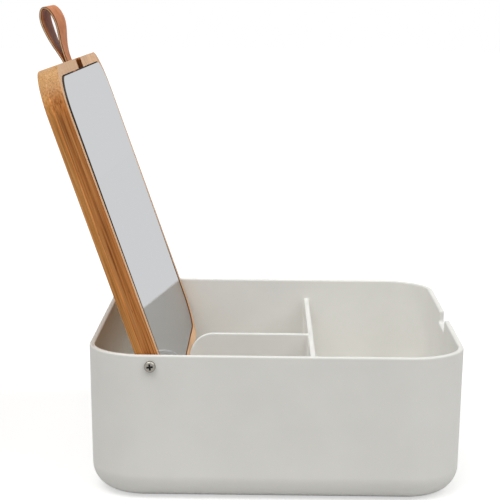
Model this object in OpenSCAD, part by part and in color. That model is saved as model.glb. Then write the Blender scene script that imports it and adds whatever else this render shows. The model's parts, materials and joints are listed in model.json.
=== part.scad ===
// Vanity box: a moulded tub with three bays, and a bamboo lid that carries a mirror.
// The lid turns on two side screws. It is drawn open, leaning back, with its tail held
// by the plate between the rear bays. A leather loop at its free end is the handle.
// Frame: origin on the table under the tub's centre, +Z up, the notched front faces -Y.

/* [Tub] */
// Width of the tub at its rim, side to side
tub_w = 220; // [180:1:270]
// Depth of the tub at its rim, front to back
tub_d = 200; // [170:1:245]
// Height of the tub
tub_h = 78.6; // [64:0.2:100]
// Thickness of the moulded walls and floor
wall = 3; // [2.4:0.1:3.6]
// Plan radius of the tub's corners at the rim
corner_r = 31; // [25:1:38]
// Outside radius between the walls and the floor
foot_r = 14; // [10:0.5:18]
// Draft of the walls, leaning in towards the floor, in degrees
draft = 1.2; // [0.6:0.1:1.8]
// Radius of the rim's edges
rim_r = 0.9; // [0.4:0.1:1.1]

/* [Dividers] */
// Clear depth of the front bay at the rim
front_bay = 75; // [60:1:90]
// Thickness of the moulded dividers
divider_t = 3; // [2.4:0.1:3.6]
// How far the dividers' tops lie below the closed lid's board
lid_rest_gap = 0.8; // [0.8:0.1:3]
// Radius of the dividers' top edges
divider_edge_r = 0.8; // [0.4:0.1:1.1]
// Radius of the plate's rear top corner
plate_corner_r = 13.8; // [10:0.2:17]
// Gap left between the open lid's tail and the plate that stops it
stop_gap = 0.3; // [0.2:0.05:0.5]

/* [Notch] */
// Gap on each side of the strap in the front rim's notch
notch_side_gap = 3.5; // [2:0.1:6]
// Gap under the strap in the notch, with the lid closed
notch_strap_gap = 0.9; // [0.8:0.1:2]
// Radius of the notch's corners
notch_r = 1.6; // [1:0.1:1.8]

/* [Lid] */
// Thickness of the bamboo lid
lid_t = 11.2; // [10.8:0.1:11.6]
// Thickness of the lid's back ply
back_ply_t = 3.7; // [3.2:0.1:3.9]
// Gap between the lid and the side walls at the rim
lid_side_gap = 1.2; // [1:0.05:1.6]
// Gap between the closed lid's free end and the front wall
lid_front_gap = 1.3; // [1:0.1:1.8]
// Gap between the lid's tail and the rear wall
lid_back_gap = 1.7; // [1.6:0.1:2.4]
// How much smaller the lid's plan corners are than the tub's inside corners
lid_corner_ease = 2; // [1.6:0.1:3]
// Angle of the open lid from upright, leaning back, in degrees
open_lean = 19.7; // [12:0.1:24]

/* [Pivot] */
// Distance of the pivot axis from the tub's rear face
pivot_from_back = 34.5; // [32:0.5:38]
// Wood left between a pivot screw and the floor of the mirror's recess
pivot_cover = 0.6; // [0.4:0.1:1]
// Shank diameter of the pivot screws
screw_d = 3; // [2.6:0.1:3.2]
// Length of the pivot screws under the head
screw_l = 16; // [13:0.5:20]
// Diameter of the pivot screws' pan heads
screw_head_d = 6; // [5.4:0.1:6.6]
// Height of the pan heads
screw_head_h = 2; // [1.6:0.1:2.4]
// Gap between a pan head and the wall
head_clear = 0.05; // [0.03:0.01:0.1]
// Radial running clearance between a shank and its bore in the wall
bore_clear = 0.08; // [0.04:0.01:0.1]
// Outside diameter of the spacer washers
washer_d = 7; // [6:0.2:8]
// Running gap between a spacer washer and the wall
washer_clear = 0.2; // [0.15:0.05:0.4]

/* [Mirror] */
// Thickness of the glass
glass_t = 3; // [2:0.1:3.2]
// Width of the bamboo border round the mirror's recess
mirror_border = 6; // [5:0.1:9]
// Gap between the glass and the recess's wall
mirror_gap = 0.7; // [0.5:0.1:1]
// Thickness of the tape under the glass at the tail end
tape_t = 0.3; // [0.2:0.05:0.5]
// How far the glass stands proud of the bamboo at the strap end
mirror_lift = 0.9; // [0.3:0.1:0.9]
// Width of the tape strips
tape_w = 12; // [8:1:16]

/* [Strap] */
// Width of the leather strap
strap_w = 20; // [16:0.5:24]
// Thickness of the leather
leather_t = 1.35; // [1:0.05:1.4]
// Gap on each side of the strap in its slot
slot_side_gap = 1; // [0.5:0.1:2]
// Length of the strap's two tails inside the slot
tail_l = 34; // [28:1:44]
// Room in the slot past the ends of the tails
slot_end_gap = 6; // [2:0.5:10]
// How far the loop stands out of the lid's end
loop_l = 32.9; // [26:0.1:40]
// Outside width of the loop at its widest
loop_w = 9; // [7:0.1:12]
// Length of the loop's round top, beyond its widest place
loop_top_l = 9.6; // [7:0.1:12]
// Diameter of the heads of the screws that hold the tails
tail_screw_head_d = 5; // [4:0.1:6]
// How far those screws bite into the back ply
tail_screw_bite = 2.6; // [2:0.1:2.8]

/* [Hidden] */
$fn = 64;
// A cut runs this far past the surface that it opens
past = 1;

// The lid's layers, each counted through the lid from the pivot axis towards the mirror
// side. The pivot screws lie under the mirror's recess.
recess_v = screw_d / 2 + pivot_cover;
lid_face = recess_v + tape_t + glass_t;
lid_back = lid_face - lid_t;
ply_line = lid_back + back_ply_t;

// The pivot axis, placed so that the closed lid's back is level with the rim, and the
// screws on it
pivot_y = tub_d / 2 - pivot_from_back;
pivot_z = tub_h + lid_back;
screw_tip_l = 3;
pan_edge_r = 1.2;
cross_w = 0.85;
cross_l = 3.4;
cross_deep = 1.1;
cross_turn = 8;
// Radial gaps of a screw in its thread hole, and of a washer round its screw
thread_gap = 0.02;
washer_gap = 0.1;

// The lid's own axes: x across it, u along it from the pivot to the free end, and v
// through it from the back to the mirror side, with the pivot axis at u = v = 0
lid_w = tub_w - 2 * (wall + lid_side_gap);
lid_u0 = wall + lid_back_gap - pivot_from_back;
lid_u1 = tub_d - pivot_from_back - wall - lid_front_gap;
lid_r = corner_r - wall - lid_corner_ease;

// The mirror lies in its recess, tilted so that it stands proud at the strap end
glass_u0 = lid_u0 + mirror_border + mirror_gap;
glass_u1 = lid_u1 - mirror_border - mirror_gap;
glass_l = glass_u1 - glass_u0;
glass_w = lid_w - 2 * (mirror_border + mirror_gap);
glass_r = lid_r - mirror_border - mirror_gap;
glass_tilt = atan(mirror_lift / glass_l);
tape_inset = 5;
tape_side_inset = 20;

// The strap's two layers lie on the back ply, with a slit between them
strap_slit = 0.1;
strap_v = ply_line + leather_t + strap_slit / 2;
strap_top_v = ply_line + 2 * leather_t + strap_slit;
slot_w = strap_w + 2 * slot_side_gap;
slot_l = tail_l + slot_end_gap;
slot_r = 1.5;
tail_screw_u = lid_u1 - 22;
tail_screw_x = 5;
tail_screw_d = 2.2;
tail_screw_tip_l = 1;
tail_screw_head_h = 1.1;
tail_screw_edge_r = 0.5;
leg_steps = 14;
top_steps = 18;

// The dividers. The plate's rear edge stops the lower corner of the open lid's tail.
divider_z = pivot_z - lid_face - lid_rest_gap;
divider_y = -tub_d / 2 + wall + front_bay + divider_t / 2;
plate_y = pivot_y + lid_u0 * sin(open_lean) - lid_face * cos(open_lean) - stop_gap;

// The notch in the front rim clears the strap's lower side with the lid closed
notch_w = strap_w + 2 * notch_side_gap;
notch_z = pivot_z - strap_top_v - notch_strap_gap;

// How far a wall line lies in from its place at the rim, at height z
function lean(z) = (tub_h - z) * tan(draft);

// Half plane section of a tub with a leaning wall and a round foot. Here x runs out
// from a plan corner's centre, y runs up, and r is the wall line's place at the rim.
module tub_section(r, foot, floor_z, top_z) {
    foot_z = floor_z + foot;
    foot_x = r - lean(foot_z) - foot / cos(draft);
    polygon([
        [0, floor_z],
        [foot_x, floor_z],
        [foot_x + foot * cos(draft), foot_z - foot * sin(draft)],
        [r - lean(top_z), top_z],
        [0, top_z],
    ]);
    translate([foot_x, foot_z]) circle(foot);
}

// Quarter disc of radius r in the first quadrant
module quarter(r) {
    intersection() {
        circle(r);
        square(2 * r);
    }
}

module outer_section() {
    edge_z = tub_h - rim_r;
    edge_x = corner_r - lean(edge_z) - rim_r;
    tub_section(corner_r, foot_r, 0, edge_z);
    translate([0, foot_r]) square([edge_x, tub_h - foot_r]);
    translate([edge_x, edge_z]) quarter(rim_r);
}

// The inside of the tub, flared at the top where it takes off the rim's inner edge
module inner_section() {
    inner_r = corner_r - wall / cos(draft);
    edge_z = tub_h - rim_r;
    edge_x = inner_r - lean(edge_z) + rim_r;
    tub_section(inner_r, foot_r - wall, wall, edge_z);
    difference() {
        translate([0, edge_z]) square([edge_x, rim_r + past]);
        translate([edge_x, edge_z]) circle(rim_r);
    }
}

// Solid with the tub's plan, whose section out from each corner's centre is the child
module tub_plan(low, high) {
    cx = tub_w / 2 - corner_r;
    cy = tub_d / 2 - corner_r;
    translate([-cx, -cy, low]) cube([2 * cx, 2 * cy, high - low]);
    for (side = [0, 1]) mirror([side, 0, 0]) {
        translate([cx, cy, 0]) rotate([90, 0, 0]) linear_extrude(2 * cy) children();
        for (end = [0, 1]) mirror([0, end, 0]) {
            translate([cx, cy, 0]) rotate_extrude(angle = 90) children();
        }
    }
    for (end = [0, 1]) mirror([0, end, 0]) {
        translate([-cx, cy, 0]) rotate([90, 0, 90]) linear_extrude(2 * cx) children();
    }
}

// Section of a divider, with its top edges rounded: x across it, y up
module divider_section() {
    half = divider_t / 2;
    edge_z = divider_z - divider_edge_r;
    translate([-half, 0]) square([divider_t, edge_z]);
    translate([divider_edge_r - half, 0]) {
        square([divider_t - 2 * divider_edge_r, divider_z]);
    }
    for (side = [-1, 1]) {
        translate([side * (half - divider_edge_r), edge_z]) circle(divider_edge_r);
    }
}

// Section of the plate's rounded rear edge: x out to the edge, y across the plate
module plate_edge_section() {
    half = divider_t / 2;
    edge_x = plate_corner_r - divider_edge_r;
    translate([0, -half]) square([edge_x, divider_t]);
    translate([0, divider_edge_r - half]) {
        square([plate_corner_r, divider_t - 2 * divider_edge_r]);
    }
    for (side = [-1, 1]) {
        translate([edge_x, side * (half - divider_edge_r)]) circle(divider_edge_r);
    }
}

module dividers() {
    corner_y = plate_y - plate_corner_r;
    corner_z = divider_z - plate_corner_r;
    translate([-tub_w / 2, divider_y, 0]) rotate([90, 0, 90]) {
        linear_extrude(tub_w) divider_section();
    }
    translate([0, corner_y, 0]) rotate([90, 0, 0]) {
        linear_extrude(corner_y - divider_y) divider_section();
    }
    translate([0, corner_y, corner_z]) rotate([90, 0, 90]) {
        rotate_extrude(angle = 90) plate_edge_section();
    }
    translate([0, corner_y, 0]) rotate([0, 0, 90]) {
        linear_extrude(corner_z) plate_edge_section();
    }
}

// Outline of the notch in the front rim, rounded at its floor and at its mouth
module notch_outline() {
    half = notch_w / 2;
    translate([-half, notch_z + notch_r]) {
        square([notch_w, tub_h + past - notch_z - notch_r]);
    }
    translate([notch_r - half, notch_z]) square([notch_w - 2 * notch_r, notch_r + past]);
    for (side = [-1, 1]) {
        translate([side * (half - notch_r), notch_z + notch_r]) circle(notch_r);
        difference() {
            translate([side * (half + notch_r / 2), tub_h - notch_r / 2 + past / 2]) {
                square([notch_r, notch_r + past], center = true);
            }
            translate([side * (half + notch_r), tub_h - notch_r]) circle(notch_r);
        }
    }
}

// Tub: moulded in one piece with its dividers, notched in front and bored at the sides
module tub() color("#e6e4da") difference() {
    tub_plan(0, tub_h) outer_section();
    difference() {
        tub_plan(wall, tub_h + past) inner_section();
        dividers();
    }
    translate([0, -tub_d / 2 + 2 * wall, 0]) rotate([90, 0, 0]) {
        linear_extrude(3 * wall) notch_outline();
    }
    translate([0, pivot_y, pivot_z]) rotate([0, 90, 0]) {
        cylinder(h = tub_w + past, r = screw_d / 2 + bore_clear, center = true);
    }
}

// Puts x, u, v on the open lid
module on_lid() {
    translate([0, pivot_y, pivot_z]) rotate([90 - open_lean, 0, 0]) children();
}

module round_plan(w, u0, u1, r) {
    translate([-w / 2, u0 + r]) square([w, u1 - u0 - 2 * r]);
    translate([r - w / 2, u0]) square([w - 2 * r, u1 - u0]);
    for (x = [r - w / 2, w / 2 - r], u = [u0 + r, u1 - r]) translate([x, u]) circle(r);
}

// Plan of the strap's slot, with the two corners at its mouth eased
module slot_plan() {
    translate([-slot_w / 2, lid_u1 - slot_l]) square([slot_w, slot_l + past]);
    for (side = [-1, 1]) difference() {
        translate([side * (slot_w + slot_r) / 2, lid_u1 - slot_r / 2 + past / 2]) {
            square([slot_r, slot_r + past], center = true);
        }
        translate([side * (slot_w / 2 + slot_r), lid_u1 - slot_r]) circle(slot_r);
    }
}

// Pilot holes for the pivot screws in the lid's edges, cut in each ply that they meet
module pivot_pilots() {
    for (side = [0, 1]) mirror([side, 0, 0]) {
        translate([screw_seat_x() - screw_l, 0, 0]) rotate([0, 90, 0]) {
            cylinder(h = screw_l, r = screw_d / 2 + thread_gap);
        }
    }
}

// Back ply: the lid's plain outer board, pilot drilled for the screws of the strap
module lid_back_ply() color("#c58c55") on_lid() difference() {
    translate([0, 0, lid_back]) linear_extrude(back_ply_t) {
        round_plan(lid_w, lid_u0, lid_u1, lid_r);
    }
    pivot_pilots();
    for (side = [-1, 1]) {
        translate([side * tail_screw_x, tail_screw_u, ply_line - tail_screw_bite]) {
            cylinder(h = tail_screw_bite + past, r = tail_screw_d / 2 + thread_gap);
        }
    }
}

// Face ply: glued on the back ply, with the mirror's recess and the strap's slot
module lid_face_ply() color("#a9683a") on_lid() difference() {
    translate([0, 0, ply_line]) linear_extrude(lid_face - ply_line) {
        round_plan(lid_w, lid_u0, lid_u1, lid_r);
    }
    translate([0, 0, recess_v]) linear_extrude(lid_face - recess_v + past) {
        round_plan(
            lid_w - 2 * mirror_border,
            lid_u0 + mirror_border,
            lid_u1 - mirror_border,
            lid_r - mirror_border
        );
    }
    translate([0, 0, ply_line - past]) linear_extrude(lid_t) slot_plan();
    pivot_pilots();
}

// Mirror: a sheet of silvered glass, flush at the tail end and proud at the strap end
module mirror_glass() color("#c9ccce") on_lid() {
    translate([0, glass_u0, recess_v + tape_t]) rotate([glass_tilt, 0, 0]) {
        linear_extrude(glass_t) round_plan(glass_w, 0, glass_l, glass_r);
    }
}

// Tape strip from x0 to x1, filling the wedge between the recess and the glass
module tape(x0, x1, u0) {
    u1 = u0 + tape_w;
    base = recess_v + tape_t;
    translate([x0, 0, 0]) rotate([90, 0, 90]) linear_extrude(x1 - x0) polygon([
        [u0, recess_v],
        [u1, recess_v],
        [u1, base + (u1 - glass_u0) * tan(glass_tilt)],
        [u0, base + (u0 - glass_u0) * tan(glass_tilt)],
    ]);
}

// Mirror tapes: a long strip at the tail, and one on each side of the strap's slot
module mirror_tapes() color("#8f8f8b") on_lid() {
    reach = glass_w / 2 - tape_side_inset;
    tape(-reach, reach, glass_u0 + tape_inset);
    for (side = [0, 1]) mirror([side, 0, 0]) {
        tape(slot_w / 2 + tape_inset, reach, glass_u1 - tape_inset - tape_w);
    }
}

// Middle line of the strap, from the end of one tail, round the loop, to the other
leg_u = lid_u1 + loop_l - loop_top_l;
leg_low = (leather_t + strap_slit) / 2;
leg_high = (loop_w - leather_t) / 2;
function leg_gap(t) = leg_low + (leg_high - leg_low) * (1 - cos(180 * t)) / 2;
function leg_point(t, side) = [lid_u1 + (leg_u - lid_u1) * t, strap_v + side * leg_gap(t)];
function top_point(a) = [
    leg_u + (loop_top_l - leather_t / 2) * sin(a),
    strap_v - leg_high * cos(a),
];
strap_line = concat(
    [[lid_u1 - tail_l, strap_v - leg_low]],
    [for (i = [0:leg_steps]) leg_point(i / leg_steps, -1)],
    [for (i = [1:top_steps - 1]) top_point(180 * i / top_steps)],
    [for (i = [0:leg_steps]) leg_point(1 - i / leg_steps, 1)],
    [[lid_u1 - tail_l, strap_v + leg_low]]
);
strap_last = len(strap_line) - 1;
function strap_side(i, side) = let (
    a = strap_line[max(i - 1, 0)],
    b = strap_line[min(i + 1, strap_last)],
    d = (b - a) / norm(b - a)
) strap_line[i] + side * leather_t / 2 * [-d.y, d.x];

// Strap: one length of leather folded into a loop, its tails side by side in the slot,
// holed for the two screws that hold them
module strap() color("#bd7b54") on_lid() difference() {
    translate([-strap_w / 2, 0, 0]) rotate([90, 0, 90]) linear_extrude(strap_w) {
        polygon(concat(
            [for (i = [0:strap_last]) strap_side(i, 1)],
            [for (i = [0:strap_last]) strap_side(strap_last - i, -1)]
        ));
    }
    for (side = [-1, 1]) {
        translate([side * tail_screw_x, tail_screw_u, ply_line - past]) {
            cylinder(h = 2 * leather_t + 2 * past, r = tail_screw_d / 2 + thread_gap);
        }
    }
}

// Screw with a pan head, standing on its head's seat at z = 0 with its tip below
module pan_screw(d, l, tip, head_d, head_h, edge_r) {
    translate([0, 0, tip - l]) cylinder(h = l - tip, r = d / 2);
    translate([0, 0, -l]) cylinder(h = tip, r1 = d / 10, r2 = d / 2);
    difference() {
        rotate_extrude() {
            square([head_d / 2, head_h - edge_r]);
            square([head_d / 2 - edge_r, head_h]);
            translate([head_d / 2 - edge_r, head_h - edge_r]) quarter(edge_r);
        }
        for (turn = [0, 90]) rotate([0, 0, cross_turn + turn]) {
            translate([-cross_l / 2, -cross_w / 2, head_h - cross_deep]) {
                cube([cross_l, cross_w, cross_deep + past]);
            }
        }
    }
}

// Strap screws: they hold both tails of the strap on the back ply, under the mirror
module strap_screws() color("#b9bbbc") on_lid() {
    for (side = [-1, 1]) translate([side * tail_screw_x, tail_screw_u, strap_top_v]) {
        pan_screw(
            tail_screw_d,
            strap_top_v - ply_line + tail_screw_bite,
            tail_screw_tip_l,
            tail_screw_head_d,
            tail_screw_head_h,
            tail_screw_edge_r
        );
    }
}

// Place of the pivot screws' head seats, just clear of the leaning wall
function screw_seat_x() = tub_w / 2 - lean(pivot_z + screw_head_d / 2) + head_clear;

// Pivot screws: one through each side wall into the lid's edge, turning with the lid
module pivot_screws() color("#b9bbbc") translate([0, pivot_y, pivot_z]) {
    for (side = [0, 1]) mirror([side, 0, 0]) {
        translate([screw_seat_x(), 0, 0]) rotate([0, 90, 0]) {
            pan_screw(screw_d, screw_l, screw_tip_l, screw_head_d, screw_head_h, pan_edge_r);
        }
    }
}

// Pivot washers: nylon spacers on the screws, between the lid's edges and the walls
module pivot_washers() color("#dddbd2") translate([0, pivot_y, pivot_z]) {
    washer_t = lid_side_gap - lean(pivot_z - washer_d / 2) - washer_clear;
    for (side = [0, 1]) mirror([side, 0, 0]) {
        translate([lid_w / 2, 0, 0]) rotate([0, 90, 0]) difference() {
            cylinder(h = washer_t, r = washer_d / 2);
            translate([0, 0, -past]) {
                cylinder(h = washer_t + 2 * past, r = screw_d / 2 + washer_gap);
            }
        }
    }
}

tub();
lid_back_ply();
lid_face_ply();
mirror_glass();
mirror_tapes();
strap();
strap_screws();
pivot_screws();
pivot_washers();
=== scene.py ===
"""Looks for a vanity box: a moulded tub, and a bamboo lid that carries a mirror.

Metres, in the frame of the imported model: the origin is on the table under the tub, +Z is
up, the notched front faces -Y and the lid's pivot runs along X. The lid is drawn open.
"""

import json
import math

import bmesh
import bpy
from mathutils import Matrix, Vector


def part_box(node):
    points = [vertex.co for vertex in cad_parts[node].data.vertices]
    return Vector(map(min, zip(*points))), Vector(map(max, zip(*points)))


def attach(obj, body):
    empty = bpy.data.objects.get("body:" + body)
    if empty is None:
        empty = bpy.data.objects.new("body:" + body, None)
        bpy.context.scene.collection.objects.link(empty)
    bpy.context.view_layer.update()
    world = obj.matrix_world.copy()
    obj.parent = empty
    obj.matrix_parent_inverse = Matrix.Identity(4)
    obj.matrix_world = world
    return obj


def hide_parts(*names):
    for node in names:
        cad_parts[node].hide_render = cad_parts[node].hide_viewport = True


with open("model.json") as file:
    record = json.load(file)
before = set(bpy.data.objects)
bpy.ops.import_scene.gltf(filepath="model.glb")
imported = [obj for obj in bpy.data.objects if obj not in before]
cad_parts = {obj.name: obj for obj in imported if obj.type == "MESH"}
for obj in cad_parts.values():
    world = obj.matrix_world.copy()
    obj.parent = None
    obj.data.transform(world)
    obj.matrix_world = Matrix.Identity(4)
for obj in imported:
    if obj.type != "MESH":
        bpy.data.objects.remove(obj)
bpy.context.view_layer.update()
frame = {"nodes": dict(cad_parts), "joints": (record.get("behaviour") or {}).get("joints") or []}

# Tub. One injection moulding in off-white polypropylene. Its section is the same all
# round, a round foot, a drafted wall and a rounded rim, so it is swept round the plan,
# and the notch is then pressed into the front rim.
MM = 0.001
tub_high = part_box("tub")[1]
wall = 3 * MM
corner_r = 31 * MM
foot_r = 14 * MM
draft = math.radians(1.2)
rim_r = 0.9 * MM
tub_h = tub_high.z
corner_x = tub_high.x - corner_r
corner_y = tub_high.y - corner_r
# The swept ring ends here, out from a plan corner's centre, and the flat floor closes it
floor_start = 3 * MM
corner_steps = 28
foot_steps = 16
rim_steps = 6
# Points closer than this are one point, and edges that turn by more than this stay sharp
weld_gap = 0.001 * MM
sharp_turn = math.radians(40)
# The notch: its size, and how far along and below the rim the plastic is moved for it
notch_w = 27 * MM
notch_z = 71.2 * MM
notch_r = 1.6 * MM
notch_reach = 20 * MM
notch_fade = 17 * MM
press_rows_mm = (16, 12, 9, 6.5, 4.5, 3, 1.8, 0.8)
front_points = 105
front_step = 0.5 * MM


def lean(z):
    """How far a wall line lies in from its place at the rim, at height z."""
    return (tub_h - z) * math.tan(draft)


def arc(x, y, radius, start, end, steps):
    """Points on an arc about (x, y), from one angle in degrees to another."""
    turns = [math.radians(start + (end - start) * i / steps) for i in range(steps + 1)]
    return [(x + radius * math.cos(a), y + radius * math.sin(a)) for a in turns]


def tub_section():
    """The tub's half section from under the floor, over the rim, to the floor: (out, up),
    with out counted from the centre of a plan corner."""
    tilt = math.degrees(draft)
    rim_z = tub_h - rim_r
    rows = [rim_z - depth * MM for depth in press_rows_mm]
    outer_foot = corner_r - lean(foot_r) - foot_r / math.cos(draft)
    outer_edge = corner_r - lean(rim_z) - rim_r
    inner_r = corner_r - wall / math.cos(draft)
    inner_foot = inner_r - lean(foot_r) - (foot_r - wall) / math.cos(draft)
    inner_edge = inner_r - lean(rim_z) + rim_r
    points = [(floor_start, 0)]
    points += arc(outer_foot, foot_r, foot_r, -90, -tilt, foot_steps)
    points += [(corner_r - lean(z), z) for z in rows]
    points += arc(outer_edge, rim_z, rim_r, 0, 90, rim_steps)
    points += arc(inner_edge, rim_z, rim_r, 90, 180, rim_steps)
    points += [(inner_r - lean(z), z) for z in rows[::-1]]
    points += arc(inner_foot, foot_r, foot_r - wall, -tilt, -90, foot_steps)
    points += [(floor_start, wall)]
    return points


def tub_plan():
    """The rim's outline, counter-clockwise from the front, close set at the notch."""
    middle = (front_points - 1) // 2
    line = [((i - middle) * front_step, -tub_high.y) for i in range(front_points)]
    line += arc(corner_x, -corner_y, corner_r, -90, 0, corner_steps)
    line += arc(corner_x, corner_y, corner_r, 0, 90, corner_steps)
    line += arc(-corner_x, corner_y, corner_r, 90, 180, corner_steps)
    line += arc(-corner_x, -corner_y, corner_r, 180, 270, corner_steps)
    return line


def flat_curve(name, points, closed):
    """A curve of straight pieces in its own XY plane, for the sweep to read."""
    data = bpy.data.curves.new(name, "CURVE")
    data.dimensions = "3D"
    spline = data.splines.new("POLY")
    spline.points.add(len(points) - 1)
    for point, (x, y) in zip(spline.points, points):
        point.co = (x, y, 0, 1)
    spline.use_cyclic_u = closed
    made = bpy.data.objects.new(name, data)
    bpy.context.scene.collection.objects.link(made)
    return made


def add(tree, kind, inputs=None, stops=None, **settings):
    """Adds a node with its settings. Each input is a plain value or another's output, and
    stops are a colour ramp's places and colours."""
    node = tree.nodes.new(kind)
    for name, value in settings.items():
        setattr(node, name, value)
    for key, value in (inputs or {}).items():
        if isinstance(value, bpy.types.NodeSocket):
            tree.links.new(value, node.inputs[key])
        else:
            node.inputs[key].default_value = value
    if stops:
        ramp = node.color_ramp.elements
        while len(ramp) < len(stops):
            ramp.new(0.5)
        for element, (place, colour) in zip(ramp, stops):
            element.position, element.color = place, colour
    return node


def new_tree(name, sockets):
    """A Geometry Nodes tree with these named inputs, and its input and output nodes."""
    tree = bpy.data.node_groups.new(name, "GeometryNodeTree")
    tree.interface.new_socket("Geometry", in_out="INPUT", socket_type="NodeSocketGeometry")
    for label, kind in sockets:
        tree.interface.new_socket(label, in_out="INPUT", socket_type="NodeSocket" + kind)
    tree.interface.new_socket("Geometry", in_out="OUTPUT", socket_type="NodeSocketGeometry")
    return tree, add(tree, "NodeGroupInput").outputs, add(tree, "NodeGroupOutput").inputs


def run_tree(name, tree, values):
    """The plain mesh that a tree makes with these named values."""
    host = bpy.data.objects.new(name, bpy.data.meshes.new(name))
    bpy.context.scene.collection.objects.link(host)
    modifier = host.modifiers.new(name, "NODES")
    modifier.node_group = tree
    for socket in tree.interface.items_tree:
        if socket.in_out == "INPUT" and socket.name in values:
            modifier[socket.identifier] = values[socket.name]
    graph = bpy.context.evaluated_depsgraph_get()
    mesh = bpy.data.meshes.new_from_object(host.evaluated_get(graph))
    bpy.data.objects.remove(host)
    return mesh


sweep_tree, given, result = new_tree(
    "Sweep section along path",
    [("Path", "Object"), ("Section", "Object"), ("Fill ends", "Bool"), ("Material", "Material")],
)
path_info = add(sweep_tree, "GeometryNodeObjectInfo", {"Object": given["Path"]})
section_info = add(sweep_tree, "GeometryNodeObjectInfo", {"Object": given["Section"]})
upright = add(
    sweep_tree, "GeometryNodeSetCurveNormal", {"Curve": path_info.outputs["Geometry"]}, mode="Z_UP"
)
swept = add(
    sweep_tree,
    "GeometryNodeCurveToMesh",
    {
        "Curve": upright.outputs["Curve"],
        "Profile Curve": section_info.outputs["Geometry"],
        "Fill Caps": given["Fill ends"],
    },
)
welded = add(
    sweep_tree,
    "GeometryNodeMergeByDistance",
    {"Geometry": swept.outputs["Mesh"], "Distance": weld_gap},
)
real = add(sweep_tree, "GeometryNodeRealizeInstances", {"Geometry": welded.outputs["Geometry"]})
finished = add(
    sweep_tree,
    "GeometryNodeSetMaterial",
    {"Geometry": real.outputs["Geometry"], "Material": given["Material"]},
)
sweep_tree.links.new(finished.outputs["Geometry"], result["Geometry"])


def face_out(solid):
    """Turns the faces of a closed bmesh outwards."""
    bmesh.ops.recalc_face_normals(solid, faces=solid.faces)
    if solid.calc_volume(signed=True) < 0:
        bmesh.ops.reverse_faces(solid, faces=solid.faces)
    return solid


def sweep(path, section, material, closed=(False, True), to_row=Matrix()):
    """A bmesh of a section, in (out to the path's right, up), swept along a flat path.
    Closed says whether the path and the section are loops."""
    route = flat_curve("Path", path, closed[0])
    outline = flat_curve("Section", [(out, -up) for out, up in section], closed[1])
    values = {"Path": route, "Section": outline, "Fill ends": closed[1], "Material": material}
    mesh = run_tree("Sweep", sweep_tree, values)
    bpy.data.objects.remove(route)
    bpy.data.objects.remove(outline)
    solid = bmesh.new()
    solid.from_mesh(mesh)
    solid.transform(to_row)
    ends = [e for e in solid.edges if e.is_boundary]
    if ends:
        bmesh.ops.holes_fill(solid, edges=ends, sides=0)
    return face_out(solid)


def notch_line(x):
    """Where a point at x on the front rim goes when the notch is pressed, as the point
    (x, z) and the direction (x, z) out of the plastic there."""
    half = notch_w / 2
    turn = notch_r * math.pi / 2
    side = tub_h - notch_z - 2 * notch_r
    runs = [notch_reach - half - notch_r, turn, side, turn, half - notch_r]
    left = (notch_reach - abs(x)) * sum(runs) / notch_reach
    sign = 1 if x > 0 else -1
    if left < runs[0]:
        place, out = (notch_reach - left, tub_h), (0, 1)
    elif left < sum(runs[:2]):
        a = (left - runs[0]) / notch_r
        out = (-math.sin(a), math.cos(a))
        place = (half + notch_r + notch_r * out[0], tub_h - notch_r + notch_r * out[1])
    elif left < sum(runs[:3]):
        place, out = (half, tub_h - notch_r - (left - sum(runs[:2]))), (-1, 0)
    elif left < sum(runs[:4]):
        a = (left - sum(runs[:3])) / notch_r
        out = (-math.cos(a), math.sin(a))
        place = (half - notch_r - notch_r * out[0], notch_z + notch_r - notch_r * out[1])
    else:
        place, out = (half - notch_r - (left - sum(runs[:4])), notch_z), (0, 1)
    return (sign * place[0], place[1]), (sign * out[0], out[1])


def press_notch(solid):
    """Moves the front rim's vertices down into the notch, and spreads those below."""
    for vertex in solid.verts:
        x, y, z = vertex.co
        down = tub_h - z
        if y > -corner_y - wall or abs(x) >= notch_reach or down >= notch_fade:
            continue
        place, out = notch_line(x)
        share = max(0, (down - rim_r) / (notch_fade - rim_r))
        below = min(down, rim_r)
        new_x = (place[0] - out[0] * below) * (1 - share) + x * share
        new_z = (place[1] - out[1] * below) * (1 - share) + (tub_h - notch_fade) * share
        vertex.co = (new_x, y + (lean(new_z) - lean(z)), new_z)


def turned(outline, steps):
    """A bmesh turned about Z from a half section of (radius, height)."""
    solid = bmesh.new()
    rings = []
    for radius, height in outline:
        if radius == 0:
            rings.append([solid.verts.new((0, 0, height))] * steps)
            continue
        turns = [2 * math.pi * i / steps for i in range(steps)]
        rings.append(
            [solid.verts.new((radius * math.cos(a), radius * math.sin(a), height)) for a in turns]
        )
    for a, b in zip(rings, rings[1:]):
        for i in range(steps):
            j = (i + 1) % steps
            corners = list(dict.fromkeys((a[i], a[j], b[j], b[i])))
            if len(corners) > 2:
                solid.faces.new(corners)
    return face_out(solid)


def carve(solid, tool, crossed=False):
    """A closed bmesh with another cut out of it, which may cross itself."""
    whole = []
    for shape in (solid, tool):
        mesh = bpy.data.meshes.new("whole")
        shape.to_mesh(mesh)
        whole.append(bpy.data.objects.new("whole", mesh))
        bpy.context.scene.collection.objects.link(whole[-1])
    cut = whole[0].modifiers.new("Cut", "BOOLEAN")
    cut.object, cut.operation, cut.solver = whole[1], "DIFFERENCE", "EXACT"
    cut.use_self = crossed
    graph = bpy.context.evaluated_depsgraph_get()
    mesh = bpy.data.meshes.new_from_object(whole[0].evaluated_get(graph))
    for used in whole:
        bpy.data.objects.remove(used)
    left = bmesh.new()
    left.from_mesh(mesh)
    return left


def linear(colour):
    """An sRGB hex colour as linear RGBA."""
    parts = [int(colour[i : i + 2], 16) / 255 for i in (1, 3, 5)]
    return (*[c / 12.92 if c <= 0.04045 else ((c + 0.055) / 1.055) ** 2.4 for c in parts], 1.0)


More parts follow.
